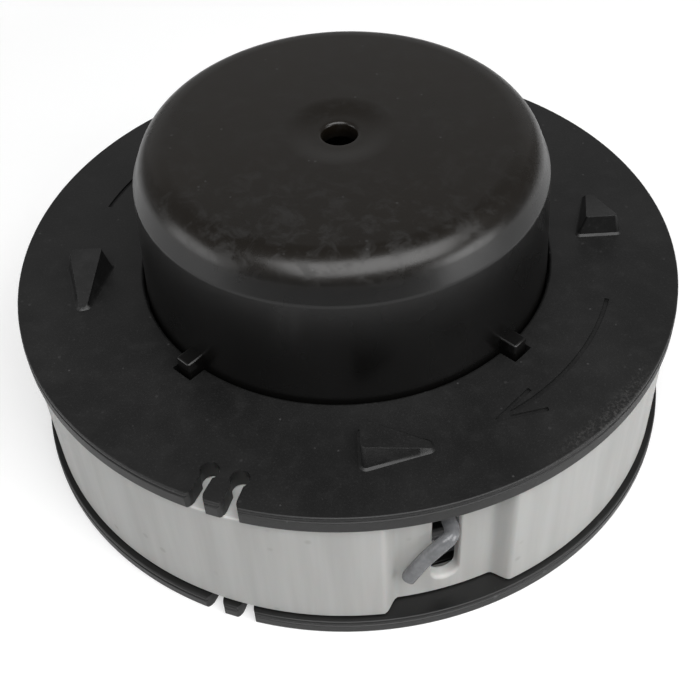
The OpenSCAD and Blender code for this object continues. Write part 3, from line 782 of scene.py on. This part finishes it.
def bumpCap():
    size = headSize
    top = size["capTop"]
    ceiling = top - cap["topThick"]
    eyeTop = top - cap["dishDeep"]
    inR = size["capR"] - cap["wall"]
    eye = softCorners([(cap["eyeR"], ceiling - cap["dishDeep"], 0), (cap["eyeR"], eyeTop, cap["eyeSoft"] * 0.99),
                       (cap["eyeR"] + 4, eyeTop, 0)], 6)[:-1]
    inside = softCorners([
        (size["capR"], size["flangeTop"] + 0.5, 0), (size["capR"], cap["lipHigh"], 0.2),
        (size["keyR"], cap["lipHigh"], 0.25), (size["keyR"], cap["lipLow"], 0.25), (inR, cap["lipLow"], 0.25),
        (inR, size["flangeTop"], 0), (inR - 1.05, ceiling, 2.5), (cap["collarR"], ceiling, 0.4),
        (cap["collarR"], cap["collarLow"], 0.2), (cap["tubeR"], cap["collarLow"], 0.3),
        (cap["tubeR"], cap["tubeLow"], 0.3), (cap["tubeInR"], cap["tubeLow"], 0.3),
        (cap["tubeInR"], ceiling - cap["dishDeep"], 0.3), (cap["eyeR"], ceiling - cap["dishDeep"], 0),
    ])
    piece = spinOutline("cap", eye + dishPoints()[1:] + [Vector((size["capR"] - 9, top))] + crownArcs() + inside, 256)
    clearSelection()
    low, high = cap["lipHigh"] - 0.3, cap["keyTop"]
    bpy.ops.mesh.primitive_cube_add(
        size=1, location=((size["keyR"] + 26.9) / 2 * mm, 0, (low + high) / 2 * mm),
        scale=((size["keyR"] - 26.9) * mm, cap["keyWide"] * mm, (high - low) * mm))
    key = bpy.context.active_object
    settle(key)
    bpy.ops.object.mode_set(mode="EDIT")
    pick(key, "EDGE", lambda a, b: min(a.z, b.z) > high - 0.1 or min(a.x, b.x) > size["keyR"] - 0.1)
    bpy.ops.mesh.bevel(offset=0.28 * mm, segments=3, affect="EDGES")
    bpy.ops.object.mode_set(mode="OBJECT")
    combine(piece, joinAll(turnCopies(key, [45, 135, 225, 315]), "keys"), "UNION")
    smoothOff(piece, 30)
    finishPiece(piece, "bumpCap", "cap", ["bump_cap"], finish["cap"])


bumpCap()


# Guide ring: C section, two windows pressed in, flared slots

window = {"angle": -76.2, "floorR": 43.3, "floorSweep": 16.6, "side": 2.6, "wall": 1.6,
          "slotWide": 3.5, "slotLow": 5.25, "slotHigh": 19.25, "flare": 0.55}
ring = {"wall": 1.8, "lip": 1.2, "low": ringLow.z / mm, "high": ringHigh.z / mm}


def recess(angle):
    # How far a point at this angle lies in a window, from 0 outside to 1 on the floor
    away = min(abs((angle - window["angle"] - turn + 180) % 360 - 180) for turn in (0, 180))
    share = (away - window["floorSweep"] / 2) / window["side"]
    share = max(0.0, min(1.0, share))
    return 1 - share * share * (3 - 2 * share)


def slotCutter():
    # Upright stadium that grows towards the outside
    half = window["slotWide"] / 2
    low, high = window["slotLow"], window["slotHigh"]
    outline = softCorners([(low, -half, half * 0.999), (low, half, half * 0.999),
                           (high, half, half * 0.999), (high, -half, half * 0.999)], 12)
    start = window["floorR"] - window["wall"] - 1
    piece = raiseOutline("slot", outline, start, window["floorR"] - window["flare"])
    bpy.ops.object.mode_set(mode="EDIT")
    pick(piece, "FACE", lambda centre, normal: normal.z > 0.9)
    middle = Vector(((low + high) / 2, 0, 0)) * mm
    steps = 5
    for k in range(steps):
        bpy.ops.mesh.extrude_region_move(TRANSFORM_OT_translate={"value": (0, 0, 0)})
        a, b = (math.pi / 2 * k / steps, math.pi / 2 * (k + 1) / steps)
        out = window["flare"] * (math.sin(b) - math.sin(a))
        grown = window["flare"] * (2 - math.cos(b) - 1)
        before = window["flare"] * (1 - math.cos(a))
        wide = (half + grown) / (half + before)
        tall = ((high - low) / 2 + grown) / ((high - low) / 2 + before)
        bpy.ops.transform.resize(value=(tall, wide, 1), center_override=middle)
        shiftBy(0, 0, out)
    bpy.ops.mesh.extrude_region_move(TRANSFORM_OT_translate={"value": (0, 0, 0.8 * mm)})
    closeUp()
    # Stood up so that its length runs along the axis and its way through along the radius
    piece.matrix_world = Matrix(((0, 0, 1, 0), (0, 1, 0, 0), (1, 0, 0, 0), (0, 0, 0, 1)))
    settle(piece)
    holdOnly(piece)
    bpy.ops.object.mode_set(mode="EDIT")
    closeUp()
    return joinAll(turnCopies(piece, [window["angle"], window["angle"] + 180]), "slots")


def guideRing():
    r, low, high = headSize["ringR"], ring["low"], ring["high"]
    outline = softCorners([
        (r, low, 0.3), (r, high, 0.3), (headSize["lipR"], high, 0.2), (headSize["lipR"], high - ring["lip"], 0.2),
        (r - ring["wall"], high - ring["lip"], 0.4), (r - ring["wall"], low + ring["lip"], 0.4),
        (headSize["lipR"], low + ring["lip"], 0.2), (headSize["lipR"], low, 0.2),
    ])
    piece = spinOutline("ring", outline, 720)
    outShift = r - window["floorR"]
    inShift = r - ring["wall"] - (window["floorR"] - window["wall"])
    for vertex in piece.data.vertices:
        reach = math.hypot(vertex.co.x, vertex.co.y) / mm
        share = recess(math.degrees(math.atan2(vertex.co.y, vertex.co.x)))
        if reach < 41 or share == 0:
            continue
        part = max(0.0, min(1.0, (reach - (r - ring["wall"])) / ring["wall"]))
        shift = share * (inShift + (outShift - inShift) * part)
        vertex.co.x *= 1 - shift / reach
        vertex.co.y *= 1 - shift / reach
    combine(piece, slotCutter(), "DIFFERENCE")
    smoothOff(piece, 40)
    finishPiece(piece, "guideRing", "ring", ["guide_ring"], finish["white"])


guideRing()


# Cutting line: two windings, and the two ends that run out through the slots

line = {"r": 1.0, "turns": 4, "layers": 3, "low": 9.6, "sides": 24}
lineRoute = [
    (44, 0, 1), (38, 0, 0.98), (32, 0, 0.95), (26, 0, 0.91), (20, 0, 0.87), (14, 0, 0.83),
    (9, 0, 0.79), (6, 0.01, 0.77), (4.3, 0.02, 0.755), (3.2, 0.05, 0.745), (2.3, 0.08, 0.74),
    (1.6, 0.16, 0.735), (1.1, 0.28, 0.73), (0.9, 0.42, 0.72), (0.87, 0.58, 0.715), (0.8, 0.72, 0.71),
    (0.5, 0.9, 0.7), (-0.25, 1.03, 0.685), (-1.3, 1.08, 0.64), (-2.3, 1.08, 0.555),
    (-3.6, 1.07, 0.43), (-4.9, 1.05, 0.275), (-6.7, 1.01, 0),
]


def winding(name, node):
    low, high = (corner.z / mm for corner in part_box(node))
    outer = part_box(node)[1].x / mm
    pitch = (high - low - 2 * line["r"]) / (line["turns"] - 1)
    outline = [Vector((headSize["drumR"] + 0.03, low + 0.2)), Vector((headSize["drumR"] + 0.03, high - 0.2))]
    for k in reversed(range(line["turns"])):
        middle = Vector((outer - line["r"], low + line["r"] + k * pitch))
        for step in range(11):
            a = math.radians(80 - 16 * step)
            outline.append(middle + line["r"] * Vector((math.cos(a), math.sin(a))))
    piece = spinOutline(name, list(reversed(outline)), 200)
    smoothOff(piece, 50)
    finishPiece(piece, name, "spool", [node], finish["nylon"])


def smoothRoute(points, fine):
    # Catmull-Rom curve through the route's points
    curve = []
    for i in range(len(points) - 1):
        a, b = points[max(i - 1, 0)], points[i]
        c, d = points[i + 1], points[min(i + 2, len(points) - 1)]
        for k in range(fine):
            t = k / fine
            curve.append(0.5 * ((2 * b) + (c - a) * t + (2 * a - 5 * b + 4 * c - d) * t * t
                                + (3 * b - a - 3 * c + d) * t ** 3))
    return curve + [points[-1]]


def tube(name, points, sectionR, square, sides):
    # Curve along the points with a rounded-square section, made a mesh
    section = bpy.data.curves.new("section", "CURVE")
    spline = section.splines.new("POLY")
    spline.points.add(sides - 1)
    for k in range(sides):
        a = 2 * math.pi * k / sides
        r = sectionR * (1 - square * (1 - math.cos(4 * a)) / 2) * mm
        spline.points[k].co = (r * math.cos(a), r * math.sin(a), 0, 1)
    spline.use_cyclic_u = True
    sectionPiece = bpy.data.objects.new("section", section)
    path = bpy.data.curves.new(name, "CURVE")
    path.dimensions = "3D"
    run = path.splines.new("POLY")
    run.points.add(len(points) - 1)
    for k, point in enumerate(points):
        run.points[k].co = (*(point * mm), 1)
    path.bevel_mode = "OBJECT"
    path.bevel_object = sectionPiece
    path.use_fill_caps = True
    path.twist_mode = "MINIMUM"
    piece = bpy.data.objects.new(name, path)
    bpy.context.scene.collection.objects.link(piece)
    bpy.context.scene.collection.objects.link(sectionPiece)
    holdOnly(piece)
    bpy.ops.object.convert(target="MESH")
    piece = bpy.context.active_object
    bpy.data.objects.remove(sectionPiece)
    bpy.ops.object.mode_set(mode="EDIT")
    closeUp()
    return piece


def lineEnd(name, node, turn, low, high):
    runR = headSize["ribR"] + 0.02
    restR = window["floorR"] + line["r"] + 0.15
    points = []
    for angle, out, rise in lineRoute:
        a, r = math.radians(window["angle"] + turn + angle), runR + (restR - runR) * out
        points.append(Vector((r * math.cos(a), r * math.sin(a), low + (high - low) * rise)))
    piece = tube(name, smoothRoute(points, 4), line["r"], 0.09, line["sides"])
    smoothOff(piece, 60)
    finishPiece(piece, name, "ring", [node], finish["nylon"])


winding("upperWinding", "upper_winding")
winding("lowerWinding", "lower_winding")
slotLow = window["slotLow"]
under = headSize["flangeUnder"]
lineEnd("upperLineEnd", "upper_line_end", 0, slotLow + 3.6, under - headSize["ribHigh"] - line["r"] - 0.6)
lineEnd("lowerLineEnd", "lower_line_end", 180, headSize["baseTop"] + headSize["ribHigh"] + line["r"],
        line["low"] + 0.1)


# Spring under the cap

spring = {"r": 13.5, "wireR": 0.75, "turns": 6, "low": 4.8, "high": 37.3, "steps": 36}


def bumpSpring():
    points = []
    total = spring["turns"] + 2
    wire = 2 * spring["wireR"]
    lift = spring["high"] - spring["low"] - 2 * wire - 0.1
    for i in range(total * spring["steps"] + 1):
        turn = i / spring["steps"]
        z = (spring["low"] + 0.6 * spring["wireR"] + wire * (min(turn, 1) + max(0, turn - total + 1))
             + lift * max(0, min(1, (turn - 1) / spring["turns"])))
        a = 2 * math.pi * turn
        points.append(Vector((spring["r"] * math.cos(a), spring["r"] * math.sin(a), z)))
    piece = tube("spring", points, spring["wireR"], 0, 14)
    bpy.ops.object.mode_set(mode="EDIT")
    for z, facing in ((spring["low"] + 0.02, -1), (spring["high"] - 0.02, 1)):
        bpy.ops.mesh.select_all(action="SELECT")
        bpy.ops.mesh.bisect(plane_co=(0, 0, z * mm), plane_no=(0, 0, facing), clear_outer=True, use_fill=True)
    closeUp()
    smoothOff(piece, 50)
    finishPiece(piece, "bumpSpring", "spool", ["bump_spring"], finish["springWire"])
    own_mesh(piece)


bumpSpring()


# Base screws: domed heads with a cross recess

screw = {"headR": 2.8, "headHigh": 1.6, "sink": 0.3, "shankR": 1.5, "long": 9, "recess": 1.7, "recessWide": 0.6}


def baseScrews():
    low = screw["sink"]
    tip = low + screw["headHigh"] + screw["long"]
    piece = spinOutline("screw", softCorners([
        (0.02, low, 0), (1.8, low, 0.8), (screw["headR"], low + 0.45, 0.4),
        (screw["headR"], low + screw["headHigh"], 0.1), (screw["shankR"], low + screw["headHigh"], 0.1),
        (screw["shankR"], tip - 0.8, 0), (0.9, tip, 0), (0.02, tip, 0)]), 40)
    long, wide = screw["recess"], screw["recessWide"] / 2
    cross = [(long, -wide), (long, wide), (wide, wide), (wide, long), (-wide, long), (-wide, wide),
             (-long, wide), (-long, -wide), (-wide, -wide), (-wide, -long), (wide, -long), (wide, -wide)]
    combine(piece, raiseOutline("cross", [Vector(p) for p in cross], low - 1, low + 1), "DIFFERENCE")
    piece.location.x = hub["screwR"] * mm
    settle(piece)
    smoothOff(piece, 40)
    for name, copy in zip(("One", "Two", "Three", "Four"), turnCopies(piece, [45, 135, 225, 315])):
        finishPiece(copy, "baseScrew" + name, "spool", ["base_screws"], finish["zinc"])


baseScrews()

for node, material in (("drive_bush", "brass"), ("shaft_nut", "zinc"), ("nut_clip", "springWire"),
                       ("spring_washer", "sheet"), ("spring_cup", "sheet")):
    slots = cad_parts[node].data.materials
    slots.clear()
    slots.append(finish[material])
print("kept nodes finished")
